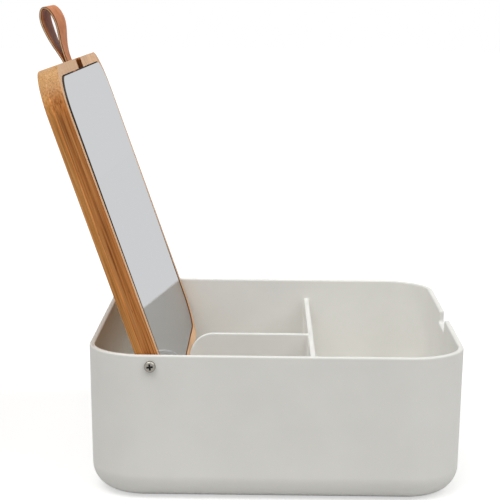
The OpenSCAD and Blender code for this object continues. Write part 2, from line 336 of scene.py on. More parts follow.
def new_material(name):
    """An empty node material with an output, as (material, tree, output node)."""
    material = bpy.data.materials.new(name)
    material.use_nodes = True
    material.node_tree.nodes.clear()
    return material, material.node_tree, add(material.node_tree, "ShaderNodeOutputMaterial")


def moulded_polypropylene():
    """Polypropylene moulded in a spark eroded tool: a soft satin skin, a little clouded
    where the plastic flowed. The grit is drawn coarser than life so that it shows."""
    cloud_size, grit_size, grit_depth = 34 * MM, 0.5 * MM, 0.03 * MM
    material, tree, output = new_material("moulded polypropylene")
    place = add(tree, "ShaderNodeTexCoord").outputs["Object"]
    clouds = add(
        tree,
        "ShaderNodeTexNoise",
        {"Vector": place, "Scale": 1 / cloud_size, "Detail": 3, "Roughness": 0.55},
    )
    colour = add(
        tree,
        "ShaderNodeValToRGB",
        {"Fac": clouds.outputs["Fac"]},
        stops=[(0.35, linear("#E9E8E3")), (0.65, linear("#EDECE7"))],
    )
    grit = add(tree, "ShaderNodeTexNoise", {"Vector": place, "Scale": 1 / grit_size, "Detail": 2})
    bump = add(
        tree,
        "ShaderNodeBump",
        {"Height": grit.outputs["Fac"], "Strength": 0.2, "Distance": grit_depth},
    )
    rough = add(
        tree,
        "ShaderNodeMapRange",
        {"Value": clouds.outputs["Fac"], "To Min": 0.52, "To Max": 0.66},
    )
    shader = add(
        tree,
        "ShaderNodeBsdfPrincipled",
        {
            "Base Color": colour.outputs["Color"],
            "Roughness": rough.outputs["Result"],
            "IOR": 1.49,
            "Specular IOR Level": 0.35,
            "Normal": bump.outputs["Normal"],
        },
    )
    tree.links.new(shader.outputs["BSDF"], output.inputs["Surface"])
    return material


tub_plastic = moulded_polypropylene()
tub_solid = sweep(
    tub_plan(),
    [(out - corner_r, up) for out, up in tub_section()],
    tub_plastic,
    closed=(True, False),
)
press_notch(tub_solid)

# The bores for the pivot screws run through both walls, and the plastic's gate left a
# shallow dimple with a nub in it under the floor
pivot = Vector(frame["joints"][0]["pos_m"])
bore_r = 1.58 * MM
bore_steps = 32
bore_line = [(0, -tub_high.x), (bore_r, -tub_high.x), (bore_r, tub_high.x), (0, tub_high.x)]
bores = turned(bore_line, bore_steps)
bores.transform(Matrix.Translation(pivot) @ Matrix.Rotation(math.pi / 2, 4, "Y"))
gate_mm = ((0, -1), (4, -1), (4, 0.3), (3.8, 0.5), (1, 0.5), (0.8, 0.3), (0, 0.2))
gate_steps = 40
gate = turned([(radius * MM, height * MM) for radius, height in gate_mm], gate_steps)
tub_solid = carve(carve(tub_solid, bores), gate)

# Dividers, part of the same moulding: one right across behind the front bay, and a
# plate between the two rear bays, whose rounded rear corner stops the open lid. Their
# tops are rounded, and a small fillet runs along every joint with the tub.
divider_t = 3 * MM
divider_z = 66.6 * MM
divider_y = -20.5 * MM
divider_edge_r = 0.8 * MM
plate_y = 50.07 * MM
plate_corner_r = 13.8 * MM
plate_steps = 18
fillet_r = 1.1 * MM
fillet_sunk = 0.6 * MM
small_arc_steps = 5


def plate(edge, buried, to_row):
    """A bmesh of a plate in its own XY plane, divider_t thick. Its shown edge, a list of
    (point, direction out), is rounded, and its buried outline closes it."""
    flat = divider_t / 2 - divider_edge_r
    ring = [(x, flat + y) for x, y in arc(0, 0, divider_edge_r, 90, 0, small_arc_steps)]
    ring = [(out, -across) for out, across in ring] + ring[::-1]
    solid = bmesh.new()
    rows = []
    for (x, y), (nx, ny) in edge:
        x, y = x - nx * divider_edge_r, y - ny * divider_edge_r
        rows.append([solid.verts.new((x + nx * out, y + ny * out, z)) for out, z in ring])
    for x, y in buried:
        rows.append([solid.verts.new((x, y, side * divider_t / 2)) for side in (-1, 1)])
    for a, b in zip(rows, rows[1:] + rows[:1]):
        if len(a) == len(b):
            for i in range(len(a) - 1):
                solid.faces.new((a[i], a[i + 1], b[i + 1], b[i]))
        else:
            long, short = (a, b) if len(a) > len(b) else (b, a)
            solid.faces.new((*long, short[1], short[0]))
    solid.faces.new([row[0] for row in rows])
    solid.faces.new([row[-1] for row in rows])
    solid.transform(to_row)
    return face_out(solid)


def fillet_section(side):
    """Concave fillet between two faces, sunk into both: (out of the first, across)."""
    hollow = arc(fillet_r, fillet_r, fillet_r, 180, 270, small_arc_steps)
    points = [(-fillet_sunk, fillet_r), *hollow]
    points += [(fillet_r, -fillet_sunk), (-fillet_sunk, -fillet_sunk)]
    return [(-out, side * (divider_t / 2 + across)) for out, across in points]


FLAT_IN_XZ = Matrix(((1, 0, 0, 0), (0, 0, -1, 0), (0, 1, 0, 0), (0, 0, 0, 1)))
FLAT_IN_YZ = Matrix(((0, 0, 1, 0), (1, 0, 0, 0), (0, 1, 0, 0), (0, 0, 0, 1)))

# The buried edge of the cross divider runs through the middle of the tub's wall
mid_foot_x = corner_x + corner_r - wall / 2 - lean(foot_r) - (foot_r - wall / 2)
mid_foot = arc(mid_foot_x, foot_r, foot_r - wall / 2, 0, -90, foot_steps // 2)
side_x = mid_foot[0][0]
cross_edge = [((side_x, divider_z), (0, 1)), ((-side_x, divider_z), (0, 1))]
cross_buried = [(-x, z) for x, z in mid_foot] + mid_foot[::-1]
cross_to_row = Matrix.Translation((0, divider_y, 0)) @ FLAT_IN_XZ
cross_solid = plate(cross_edge, cross_buried, cross_to_row)

plate_centre = (plate_y - plate_corner_r, divider_z - plate_corner_r)
plate_edge = [((divider_y, divider_z), (0, 1))]
for i, place in enumerate(arc(*plate_centre, plate_corner_r, 90, 0, plate_steps)):
    turn = math.radians(90 * i / plate_steps)
    plate_edge.append((place, (math.sin(turn), math.cos(turn))))
plate_edge += [((plate_y, wall / 2), (1, 0))]
plate_solid = plate(plate_edge, [(divider_y, wall / 2)], FLAT_IN_YZ)

# Fillets of the cross divider, along the inside of the tub from side to side
bay_r = foot_r - wall
bay_steps = 12
bay_foot_x = corner_x + corner_r - wall - lean(foot_r) - bay_r
bay_top = divider_z - divider_edge_r
bay_right = arc(bay_foot_x, foot_r, bay_r, -90, 0, bay_steps)
bay_right += [(corner_x + corner_r - wall / math.cos(draft) - lean(bay_top), bay_top)]
bay_line = [(-x, z) for x, z in reversed(bay_right)] + bay_right
fillets = [
    sweep(bay_line, fillet_section(side), tub_plastic, to_row=cross_to_row) for side in (-1, 1)
]
# Fillets of the plate, round its foot and up its joint with the cross divider
half_t = divider_t / 2
end_steps = 10
plate_foot = [(-half_t, divider_y), (-half_t, plate_y - half_t)]
plate_foot += arc(0, plate_y - half_t, half_t, 180, 0, end_steps)[1:-1]
plate_foot += [(half_t, plate_y - half_t), (half_t, divider_y)]
foot_line = [(across - half_t, -out) for out, across in fillet_section(1)]
fillets.append(
    sweep(plate_foot[::-1], foot_line, tub_plastic, to_row=Matrix.Translation((0, 0, wall)))
)
joint_line = [(divider_y + half_t, wall), (divider_y + half_t, bay_top)]
fillets += [
    sweep(
        joint_line,
        [(-out, side * across) for out, across in fillet_section(1)],
        tub_plastic,
        to_row=FLAT_IN_YZ,
    )
    for side in (-1, 1)
]


def joined(solids):
    """One bmesh of several."""
    whole = bmesh.new()
    for solid in solids:
        part = bpy.data.meshes.new("part")
        solid.to_mesh(part)
        whole.from_mesh(part)
        bpy.data.meshes.remove(part)
    return whole


def new_piece(name, solid, materials, body, slot, *nodes):
    """Turns a bmesh into a finished piece, with the shading of its large faces kept flat
    and its roundings smooth, which rides on a body and stands for CAD nodes."""
    mesh = bpy.data.meshes.new(name)
    solid.to_mesh(mesh)
    for material in materials:
        mesh.materials.append(material)
    mesh.shade_smooth()
    mesh.set_sharp_from_angle(angle=sharp_turn)
    rough = bpy.data.objects.new(name, mesh)
    bpy.context.scene.collection.objects.link(rough)
    rough.modifiers.new("Flat faces", "WEIGHTED_NORMAL").keep_sharp = True
    graph = bpy.context.evaluated_depsgraph_get()
    even = bpy.data.meshes.new_from_object(rough.evaluated_get(graph))
    bpy.data.objects.remove(rough)
    even.name = name
    piece = bpy.data.objects.new(name, even)
    bpy.context.scene.collection.objects.link(piece)
    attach(piece, body)
    if nodes:
        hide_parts(*nodes)
    return piece


new_piece(
    "tub_moulding",
    joined([tub_solid, cross_solid, plate_solid, *fillets]),
    [tub_plastic],
    "tub",
    "tub_plastic",
    "tub",
)

# Lid boards. Two plies of flat-pressed bamboo, glued face to face: a plain back ply, and
# a face ply routed for the mirror and slotted for the strap. Their edges are eased with
# sandpaper, and a fine groove shows where the plies meet.
open_lean = math.radians(19.7)
lid_to_row = Matrix.Translation(pivot) @ Matrix.Rotation(math.pi / 2 - open_lean, 4, "X")
lid_back = -5.8 * MM
ply_line = -2.1 * MM
lid_face = 5.4 * MM
lid_half_w = 105.8 * MM
lid_u0 = -29.8 * MM
lid_u1 = 161.2 * MM
lid_r = 26 * MM
outline_band = 3 * MM
back_edge_r = 0.6 * MM
face_edge_r = 0.8 * MM
recess_edge_r = 0.25 * MM
glue_groove = 0.12 * MM
# The routed walls of the recess are painted dark, as shade, but not close to the glue or to the
# face
recess_shade_low = ply_line + 0.3 * MM
recess_shade_high = lid_face - 0.2 * MM


def lid_copy(node):
    """A merged bmesh copy of a lid node, with flat faces whole, in the lid's own axes:
    x across, y (u) from the pivot to the free end, and z (v) out of the mirror side."""
    flat_within = math.radians(0.3)
    solid = bmesh.new()
    solid.from_mesh(frame["nodes"][node].data)
    bmesh.ops.remove_doubles(solid, verts=solid.verts, dist=weld_gap)
    solid.transform(lid_to_row.inverted())
    bmesh.ops.dissolve_limit(
        solid, angle_limit=flat_within, verts=solid.verts, edges=solid.edges
    )
    for face in solid.faces:
        face.material_index = 0
    return solid


def on_outline(place):
    """Whether a point of the lid lies on its outline, not in the mirror's recess."""
    out = Vector((max(0, abs(place.x) - lid_half_w + lid_r), 0))
    out.y = max(0, place.y - lid_u1 + lid_r, lid_u0 + lid_r - place.y)
    return out.length > lid_r - outline_band


def bevel(solid, edges, width, steps):
    """Rounds these edges, or takes them off flat with one step."""
    bmesh.ops.bevel(
        solid,
        geom=edges,
        offset=width,
        segments=steps,
        profile=0.5,
        affect="EDGES",
        clamp_overlap=True,
    )


def ease(solid, level, width, steps=3, keep=lambda edge: True):
    """Rounds the sharp edges that lie at one level v of a board."""
    near = 0.02 * MM
    edges = [
        e
        for e in solid.edges
        if all(abs(v.co.z - level) < near for v in e.verts)
        and e.is_manifold
        and e.calc_face_angle(0) > sharp_turn
        and keep(e)
    ]
    bevel(solid, edges, width, steps)


def settled(solid):
    """The same bmesh with its faces in a fixed order, each from its lowest corner, because
    a bevel leaves them in an order that changes from run to run."""
    solid.verts.index_update()
    rings = []
    for face in solid.faces:
        ring = [v.index for v in face.verts]
        first = ring.index(min(ring))
        rings.append((ring[first:] + ring[:first], face.material_index))
    made = bmesh.new()
    corners = [made.verts.new(v.co) for v in solid.verts]
    for ring, index in sorted(rings):
        made.faces.new([corners[i] for i in ring]).material_index = index
    return made


strip_w = 21.2 * MM
knuckle_apart = 187 * MM
knuckle_wander = 5 * MM
# Tones through the lid's thickness, as (v in mm, grey): the strips of each ply, with a
# light line where the plies meet
ply_layers = [(-5.8, 1.0), (-2.5, 0.95), (-2.25, 1.22), (-1.7, 1.22), (-1.45, 0.82), (0, 0.76)]
ply_layers += [(0.3, 0.84), (2.2, 0.8), (2.5, 0.88), (3.7, 0.82), (4.0, 0.9), (5.4, 0.95)]
# Sizes of the grain's patterns in mm, across, along and through a board
fibre_mm = (0.8, 45, 0.8)
band_mm = (5, 160, 2.2)
bundle_mm = (0.9, 50, 0.9)
wander_mm = (7, 7, 7)
fleck_mm = (1.6, 7, 1.0)
fibre_relief = 0.06 * MM
tone_stops = (0.36, 0.5, 0.64)


def lacquered_bamboo(name, face_tones, side_tones, end_tones, layers):
    """Caramelised bamboo pressed flat from strips, sanded and lacquered: straight fibres,
    darker bundles that end in dots, a knuckle across a strip now and then, and a thin
    satin coat. The bundles are drawn coarser than life. Tones go from dark to light."""
    material, tree, output = new_material(name)
    shape = add(tree, "ShaderNodeTexCoord").outputs
    # Place and facing, turned from the model's axes to the lid's own
    place = add(tree, "ShaderNodeMapping", {"Vector": shape["Object"], "Location": -pivot})
    axes, facing = [
        add(
            tree,
            "ShaderNodeVectorRotate",
            {"Vector": vector, "Angle": open_lean - math.pi / 2},
            rotation_type="X_AXIS",
        ).outputs["Vector"]
        for vector in (place.outputs["Vector"], shape["Normal"])
    ]
    apart, facing_apart = [
        add(tree, "ShaderNodeSeparateXYZ", {"Vector": vector}).outputs
        for vector in (axes, facing)
    ]

    scaled = [
        add(
            tree, "ShaderNodeMapping", {"Vector": axes, "Scale": [1 / (s * MM) for s in size_mm]}
        ).outputs["Vector"]
        for size_mm in (fibre_mm, band_mm, wander_mm, fleck_mm, bundle_mm)
    ]
    detail = ({"Detail": 5, "Roughness": 0.7}, {"Detail": 2}, {}, {"Detail": 1})
    fibres, bands, wander, flecks = [
        add(tree, "ShaderNodeTexNoise", {"Vector": vector, "Scale": 1, **more}).outputs["Fac"]
        for vector, more in zip(scaled, detail)
    ]
    bundles = add(
        tree,
        "ShaderNodeTexVoronoi",
        {"Vector": scaled[-1], "Scale": 1, "Randomness": 0.85},
    ).outputs["Distance"]

    # Each strip has its own number, from which it takes its tone and its knuckles
    strip = add(tree, "ShaderNodeMath", {0: apart["X"], 1: strip_w}, operation="DIVIDE")
    strip = add(tree, "ShaderNodeMath", {0: strip.outputs[0]}, operation="FLOOR")
    number = add(
        tree, "ShaderNodeTexWhiteNoise", {"W": strip.outputs[0]}, noise_dimensions="1D"
    ).outputs["Value"]
    from_knuckle = wander
    for operation, values in (
        ("MULTIPLY_ADD", (knuckle_wander, apart["Y"])),
        ("MULTIPLY_ADD", (1 / knuckle_apart, number)),
        ("FRACT", ()),
        ("SUBTRACT", (0.5,)),
        ("ABSOLUTE", ()),
    ):
        from_knuckle = add(
            tree, "ShaderNodeMath", dict(enumerate((from_knuckle, *values))), operation=operation
        ).outputs[0]
    sideways, endways = [
        add(tree, "ShaderNodeMath", {0: facing_apart[axis]}, operation="ABSOLUTE").outputs[0]
        for axis in ("X", "Y")
    ]

    # Smooth steps: the value, where the step starts and ends, and what it goes from and to
    steps = {
        part: add(
            tree,
            "ShaderNodeMapRange",
            {"Value": value, "From Min": low, "From Max": high, "To Min": start, "To Max": end},
            interpolation_type="SMOOTHSTEP",
        ).outputs["Result"]
        for part, value, low, high, start, end in (
            ("side", sideways, 0.45, 0.95, 0, 1),
            ("end", endways, 0.3, 0.85, 0, 1),
            ("dots", bundles, 0.14, 0.42, 0, 1),
            ("streaks", bundles, 0.1, 0.5, 0.64, 1.08),
            ("flecks", flecks, 0.7, 0.78, 1, 0.5),
            ("knuckle", from_knuckle, 0.003, 0.011, 0.72, 1),
            ("strip", number, 0, 1, 0.9, 1.06),
            ("roughness", fibres, 0.3, 0.7, 0.46, 0.6),
        )
    }
    # The tone is mostly that of the fibres, with some of the wider bands
    bands = add(tree, "ShaderNodeMath", {0: bands, 1: 0.3}, operation="MULTIPLY").outputs[0]
    tone = add(tree, "ShaderNodeMath", {0: fibres, 1: 0.7, 2: bands}, operation="MULTIPLY_ADD")
    face, side, end = [
        add(
            tree,
            "ShaderNodeValToRGB",
            {"Fac": tone.outputs[0]},
            stops=[(spot, linear(hue)) for spot, hue in zip(tone_stops, tones)],
        ).outputs["Color"]
        for tones in (face_tones, side_tones, end_tones)
    ]
    depth = add(
        tree,
        "ShaderNodeMapRange",
        {"Value": apart["Z"], "From Min": lid_back, "From Max": lid_face},
    )
    stops = [((v * MM - lid_back) / (lid_face - lid_back), (g, g, g, 1)) for v, g in layers]
    layer = add(tree, "ShaderNodeValToRGB", {"Fac": depth.outputs["Result"]}, stops=stops)
    side = add(
        tree,
        "ShaderNodeMix",
        {0: 1.0, 6: side, 7: layer.outputs["Color"]},
        data_type="RGBA",
        blend_type="MULTIPLY",
    ).outputs[2]

    # What darkens the face, the side and the end grain
    shading = [
        add(tree, "ShaderNodeMath", dict(enumerate(values)), operation=operation).outputs[0]
        for operation, values in (
            ("MULTIPLY", (steps["knuckle"], steps["strip"])),
            ("MULTIPLY", (steps["streaks"], steps["flecks"])),
            ("MULTIPLY_ADD", (steps["dots"], 0.48, 0.55)),
        )
    ]
    face, side, end = [
        add(tree, "ShaderNodeVectorMath", {0: hue, "Scale": shade}, operation="SCALE").outputs[0]
        for hue, shade in zip((face, side, end), shading)
    ]
    wood = face
    for share, hue in ((steps["side"], side), (steps["end"], end)):
        wood = add(
            tree, "ShaderNodeMix", {0: share, 6: wood, 7: hue}, data_type="RGBA"
        ).outputs[2]
    bump = add(
        tree, "ShaderNodeBump", {"Height": fibres, "Strength": 0.3, "Distance": fibre_relief}
    )
    shader = add(
        tree,
        "ShaderNodeBsdfPrincipled",
        {
            "Base Color": wood,
            "Roughness": steps["roughness"],
            "IOR": 1.5,
            "Specular IOR Level": 0.2,
            "Normal": bump.outputs["Normal"],
        },
    )
    tree.links.new(shader.outputs["BSDF"], output.inputs["Surface"])
    return material


back_bamboo = lacquered_bamboo(
    "lacquered bamboo, back ply",
    ("#B07C46", "#C6935C", "#D3A36C"),
    ("#9C5F26", "#C68748", "#DCA466"),
    ("#B78550", "#CB9A62", "#DAAE7A"),
    ply_layers,
)
face_bamboo = lacquered_bamboo(
    "lacquered bamboo, face ply",
    ("#DDAB7C", "#EBBB8E", "#F4CAA2"),
    ("#91501B", "#C67D3E", "#E09D5E"),
    ("#B98652", "#CE9C65", "#DEB27E"),
    ply_layers,
)
# The same bamboo painted dark: painted shade on the routed walls of the recess and the strap's
# slot
recess_shade_bamboo = lacquered_bamboo(
    "bamboo painted dark as recess shade",
    ("#5C3413", "#7D481C", "#8F5826"),
    ("#5C3413", "#7D481C", "#8F5826"),
    ("#683C16", "#885022", "#9B612C"),
    ((-5.8, 1.0), (5.4, 1.0)),
)
back_ply = lid_copy("lid_back_ply")
ease(back_ply, lid_back, back_edge_r)
ease(back_ply, ply_line, glue_groove, 1)
back_ply.transform(lid_to_row)
new_piece(
    "lid_back_board",
    settled(back_ply),
    [back_bamboo],
    "lid",
    "back_ply_bamboo",
    "lid_back_ply",
)
face_ply = lid_copy("lid_face_ply")
ease(face_ply, lid_face, face_edge_r, keep=lambda edge: on_outline(edge.verts[0].co))
ease(face_ply, lid_face, recess_edge_r, 2, keep=lambda edge: not on_outline(edge.verts[0].co))
ease(face_ply, ply_line, glue_groove, 1)
# The routed walls take the bamboo painted dark as shade
for face in face_ply.faces:
    middle = face.calc_center_median()
    cut = recess_shade_low < middle.z < recess_shade_high and not on_outline(middle)
    face.material_index = 1 if cut else 0
face_ply.transform(lid_to_row)
new_piece(
    "lid_face_board",
    settled(face_ply),
    [face_bamboo, recess_shade_bamboo],
    "lid",
    "face_ply_bamboo",
    "lid_face_ply",
)

# Mirror. A sheet of float glass, silvered on its back, with its edges ground and seamed.
# It is stuck into the lid's recess, where it stands a little proud at the strap end and
# its face lies a little deeper along the far side.
recess_v = 2.1 * MM
arris = 0.2 * MM
far_sink = 0.45 * MM
glass_half_w = 99.1 * MM


def silvered_glass():
    """Silvered float glass seen from the front: a clean, slightly cool reflection, with a
    faint haze here and there."""
    haze_size = 45 * MM
    material, tree, output = new_material("silvered float glass")
    place = add(tree, "ShaderNodeTexCoord").outputs["Object"]
    haze = add(tree, "ShaderNodeTexNoise", {"Vector": place, "Scale": 1 / haze_size})
    rough = add(
        tree, "ShaderNodeMapRange", {"Value": haze.outputs["Fac"], "To Min": 0.01, "To Max": 0.03}
    )
    shader = add(
        tree,
        "ShaderNodeBsdfAnisotropic",
        {"Color": linear("#CDCED0"), "Roughness": rough.outputs["Result"]},
    )
    tree.links.new(shader.outputs["BSDF"], output.inputs["Surface"])
    return material


def ground_glass_edge():
    """The sheet's ground edge: the dark green grey of float glass seen end on. The marks
    of the grinding wheel are drawn coarser than life."""
    grind_size = 0.8 * MM
    material, tree, output = new_material("ground glass edge")
    place = add(tree, "ShaderNodeTexCoord").outputs["Object"]
    grind = add(tree, "ShaderNodeTexNoise", {"Vector": place, "Scale": 1 / grind_size})
    rough = add(
        tree, "ShaderNodeMapRange", {"Value": grind.outputs["Fac"], "To Min": 0.2, "To Max": 0.4}
    )
    shader = add(
        tree,
        "ShaderNodeBsdfPrincipled",
        {"Base Color": linear("#1B1E1C"), "Roughness": rough.outputs["Result"], "IOR": 1.52},
    )
    tree.links.new(shader.outputs["BSDF"], output.inputs["Surface"])
    return material


glass = lid_copy("mirror_glass")
glass_v = max(v.co.z for v in glass.verts)
bevel(glass, [e for e in glass.edges if e.calc_face_angle(0) > sharp_turn], arris, 1)
for vertex in glass.verts:
    if vertex.co.z > (glass_v + recess_v) / 2:
        vertex.co.z -= far_sink * (vertex.co.x + glass_half_w) / (2 * glass_half_w)
glass.normal_update()
for face in glass.faces:
    level = face.normal.z > 0.99
    face.material_index = 0 if level else 1
glass.transform(lid_to_row)
new_piece(
    "mirror_sheet",
    settled(glass),
    [silvered_glass(), ground_glass_edge()],
    "lid",
    "mirror",
    "mirror_glass",
)

# Mounting tape. Three strips of grey acrylic foam, slit from a roll, that hold the glass
# on the floor of its recess. They are hidden, so their CAD shapes stay.


def foam_tape():
    """Acrylic foam slit by a knife: matt, grey and finely open."""
    cell_size = 0.35 * MM
    material, tree, output = new_material("acrylic foam tape")
    place = add(tree, "ShaderNodeTexCoord").outputs["Object"]
    cells = add(tree, "ShaderNodeTexVoronoi", {"Vector": place, "Scale": 1 / cell_size})
    colour = add(
        tree,
        "ShaderNodeValToRGB",
        {"Fac": cells.outputs["Distance"]},
        stops=[(0.0, linear("#7B7B77")), (0.7, linear("#9A9A95"))],
    )
    shader = add(
        tree,
        "ShaderNodeBsdfPrincipled",
        {"Base Color": colour.outputs["Color"], "Roughness": 0.85, "IOR": 1.47},
    )
    tree.links.new(shader.outputs["BSDF"], output.inputs["Surface"])
    return material


def give_material(node, material):
    """Puts a material on a CAD node that stays as it is."""
    slots = frame["nodes"][node].data.materials
    slots.clear()
    slots.append(material)


give_material("mirror_tapes", foam_tape())

# Strap. One length of vegetable tanned leather, 20 mm wide, folded into a loop with its
# glossy lining inside. Its cut edges are left pale, with dark lines where the dye and
# the finish stop, and the loop twists a little to one side.
strap_w = 20 * MM
leather_t = 1.35 * MM
edge_round = 0.33 * MM
tail_l = 34 * MM
loop_l = 32.9 * MM
loop_w = 9 * MM
loop_top_l = 9.6 * MM
strap_v = -0.7 * MM
strap_slit = 0.1 * MM
# How soon each leg of the loop leaves the middle: below 1 is sooner
back_haste = 0.62
front_haste = 1.35
# The twist, in mm of rise for each mm across, and where it sets in
strap_twist = 0.135
twist_start = 2 * MM
twist_l = 25 * MM
leg_steps = 26
top_steps = 36
tail_steps = 6
edge_steps = 3


def strap_line():
    """The leather's middle line in (u, v): out along the back of the slot, round the
    loop and in along its front. The back leg leaves the lid sooner than the front leg."""
    low = (leather_t + strap_slit) / 2
    high = (loop_w - leather_t) / 2
    leg_u = lid_u1 + loop_l - loop_top_l

    def leg(side, haste):
        shares = [i / leg_steps for i in range(leg_steps + 1)]
        swells = [(1 - math.cos(math.pi * t**haste)) / 2 for t in shares]
        return [
            (lid_u1 + (leg_u - lid_u1) * t, strap_v + side * (low + (high - low) * swell))
            for t, swell in zip(shares, swells)
        ]

    turns = [math.pi * i / top_steps for i in range(1, top_steps)]
    top_l = loop_top_l - leather_t / 2
    top = [(leg_u + top_l * math.sin(a), strap_v - high * math.cos(a)) for a in turns]
    tails = [lid_u1 - tail_l * (1 - i / tail_steps) for i in range(tail_steps)]
    back = [(u, strap_v - low) for u in tails] + leg(-1, back_haste)
    front = [(u, strap_v + low) for u in tails] + leg(1, front_haste)
    return back + top + front[::-1]


def strap_section():
    """The leather's section: (out of the loop, across), its corners rounded."""
    r = edge_round
    thick, wide = leather_t / 2 - r, strap_w / 2 - r
    corners = arc(thick, wide, r, 0, 90, edge_steps)
    corners += arc(-thick, wide, r, 90, 180, edge_steps)
    corners += arc(-thick, -wide, r, 180, 270, edge_steps)
    corners += arc(thick, -wide, r, 270, 360, edge_steps)
    return corners


def tanned_leather(name, dark, light, roughness, level):
    """Vegetable tanned leather: patchy where the dye took, with fine pebbled pores under
    a waxed or glazed finish. The pores are drawn coarser than life."""
    patch_size, pore_size, pore_depth = 5 * MM, 0.6 * MM, 0.05 * MM
    material, tree, output = new_material(name)
    place = add(tree, "ShaderNodeTexCoord").outputs["Object"]
    patches = add(
        tree,
        "ShaderNodeTexNoise",
        {"Vector": place, "Scale": 1 / patch_size, "Detail": 4, "Roughness": 0.65},
    )
    colour = add(
        tree,
        "ShaderNodeValToRGB",
        {"Fac": patches.outputs["Fac"]},
        stops=[(0.36, linear(dark)), (0.64, linear(light))],
    )
    pores = add(tree, "ShaderNodeTexVoronoi", {"Vector": place, "Scale": 1 / pore_size})
    bump = add(
        tree,
        "ShaderNodeBump",
        {"Height": pores.outputs["Distance"], "Strength": 0.3, "Distance": pore_depth},
    )
    shader = add(
        tree,
        "ShaderNodeBsdfPrincipled",
        {
            "Base Color": colour.outputs["Color"],
            "Roughness": roughness,
            "IOR": 1.5,
            "Specular IOR Level": level,
            "Normal": bump.outputs["Normal"],
        },
    )
    tree.links.new(shader.outputs["BSDF"], output.inputs["Surface"])
    return material


leathers = [
    tanned_leather("leather, waxed grain side", "#CC835C", "#DE9870", 0.75, 0.12),
    tanned_leather("leather, glazed lining", "#B96A28", "#E08B3E", 0.42, 0.06),
    tanned_leather("leather, cut edge", "#C99A70", "#DFB78F", 0.8, 0.2),
    tanned_leather("leather, burnished corner", "#4A2E1C", "#6B452B", 0.7, 0.15),
]
strap = sweep(strap_line(), strap_section(), leathers[0], to_row=FLAT_IN_YZ)
for face in strap.faces:
    across = [v.co.x for v in face.verts]
    if max(across) - min(across) > strap_w / 2:
        inward = Vector((0, lid_u1 + loop_l / 2, strap_v)) - face.calc_center_median()
        inward.x = 0
        face.material_index = 1 if inward.dot(face.normal) > 0 else 0
    else:
        on_edge = all(abs(x) > strap_w / 2 - weld_gap for x in across)
        face.material_index = 2 if on_edge else 3
for vertex in strap.verts:
    rise = min(1, max(0, (vertex.co.y - lid_u1 - twist_start) / twist_l))
    vertex.co.z += strap_twist * vertex.co.x * rise * rise * (3 - 2 * rise)
strap.transform(lid_to_row)
new_piece("strap_loop", strap, leathers, "lid", "leather", "strap")

# Screws. Two pan head screws with a cross recess go through the sides of the tub into
# the lid's edges, and the lid turns on them. Two smaller ones hold the strap's tails
# under the mirror. All are cold headed steel, plated with nickel.
screw_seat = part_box("pivot_screws")[1].x
head_d = 6 * MM
head_h = 2 * MM
head_edge_r = 1.2 * MM
head_foot_r = 0.1 * MM
crown_rise = 0.01 * MM
crown_turn = 78  # degrees
shank_d = 3 * MM
tip_d = 0.6 * MM
screw_l = 16 * MM
tip_l = 3 * MM
cross_l = 3.5 * MM
cross_w = 0.95 * MM
cross_deep = 1.1 * MM
cross_turn = math.radians(8)
# The cross is wider at its mouth than its nominal size, and narrower at its floor
cross_mouth = 1.12
cross_floor_l = 0.5
cross_floor_w = 0.8
cross_over = 0.4 * MM
round_steps = 48
crown_steps = 8


def nickel_plate(name, hue):
    """Steel, cold headed, barrel plated with nickel: bright, with fine tumbling marks,
    which are drawn coarser than life."""
    mark_size, mark_depth = 0.5 * MM, 0.02 * MM
    material, tree, output = new_material(name)
    place = add(tree, "ShaderNodeTexCoord").outputs["Object"]
    marks = add(tree, "ShaderNodeTexNoise", {"Vector": place, "Scale": 1 / mark_size, "Detail": 3})
    rough = add(
        tree, "ShaderNodeMapRange", {"Value": marks.outputs["Fac"], "To Min": 0.22, "To Max": 0.4}
    )
    bump = add(
        tree,
        "ShaderNodeBump",
        {"Height": marks.outputs["Fac"], "Strength": 0.2, "Distance": mark_depth},
    )
    shader = add(
        tree,
        "ShaderNodeBsdfPrincipled",
        {
            "Base Color": linear(hue),
            "Metallic": 1.0,
            "Roughness": rough.outputs["Result"],
            "Normal": bump.outputs["Normal"],
        },
    )
    tree.links.new(shader.outputs["BSDF"], output.inputs["Surface"])
    return material


def cross_cutter():
    """A tapered cross that is cut into a pan head."""
    solid = bmesh.new()
    for turn in (0, math.pi / 2):
        bar = bmesh.ops.create_cube(solid, size=1)["verts"]
        for vertex in bar:
            top = vertex.co.z > 0
            vertex.co.x *= cross_l * (cross_mouth if top else cross_floor_l)
            vertex.co.y *= cross_w * (cross_mouth if top else cross_floor_w)
            vertex.co.z = head_h + cross_over if top else head_h - cross_deep
        bmesh.ops.rotate(solid, verts=bar, matrix=Matrix.Rotation(turn + cross_turn, 3, "Z"))
    return solid


def pan_screw():
    """A pan head screw on its seat at z = 0, tip down, as an object."""
    crown_z = head_h - head_edge_r
    outline = [(0, -screw_l), (tip_d / 2, -screw_l), (shank_d / 2, tip_l - screw_l)]
    outline += [(shank_d / 2, 0), (head_d / 2 - head_foot_r, 0), (head_d / 2, head_foot_r)]
    outline += arc(head_d / 2 - head_edge_r, crown_z, head_edge_r, 0, crown_turn, crown_steps)
    outline += [(head_d / 4, head_h - crown_rise), (0, head_h)]
    mesh = bpy.data.meshes.new("pan screw")
    carve(turned(outline, round_steps), cross_cutter(), crossed=True).to_mesh(mesh)
    screw = bpy.data.objects.new("pan screw", mesh)
    bpy.context.scene.collection.objects.link(screw)
    return screw


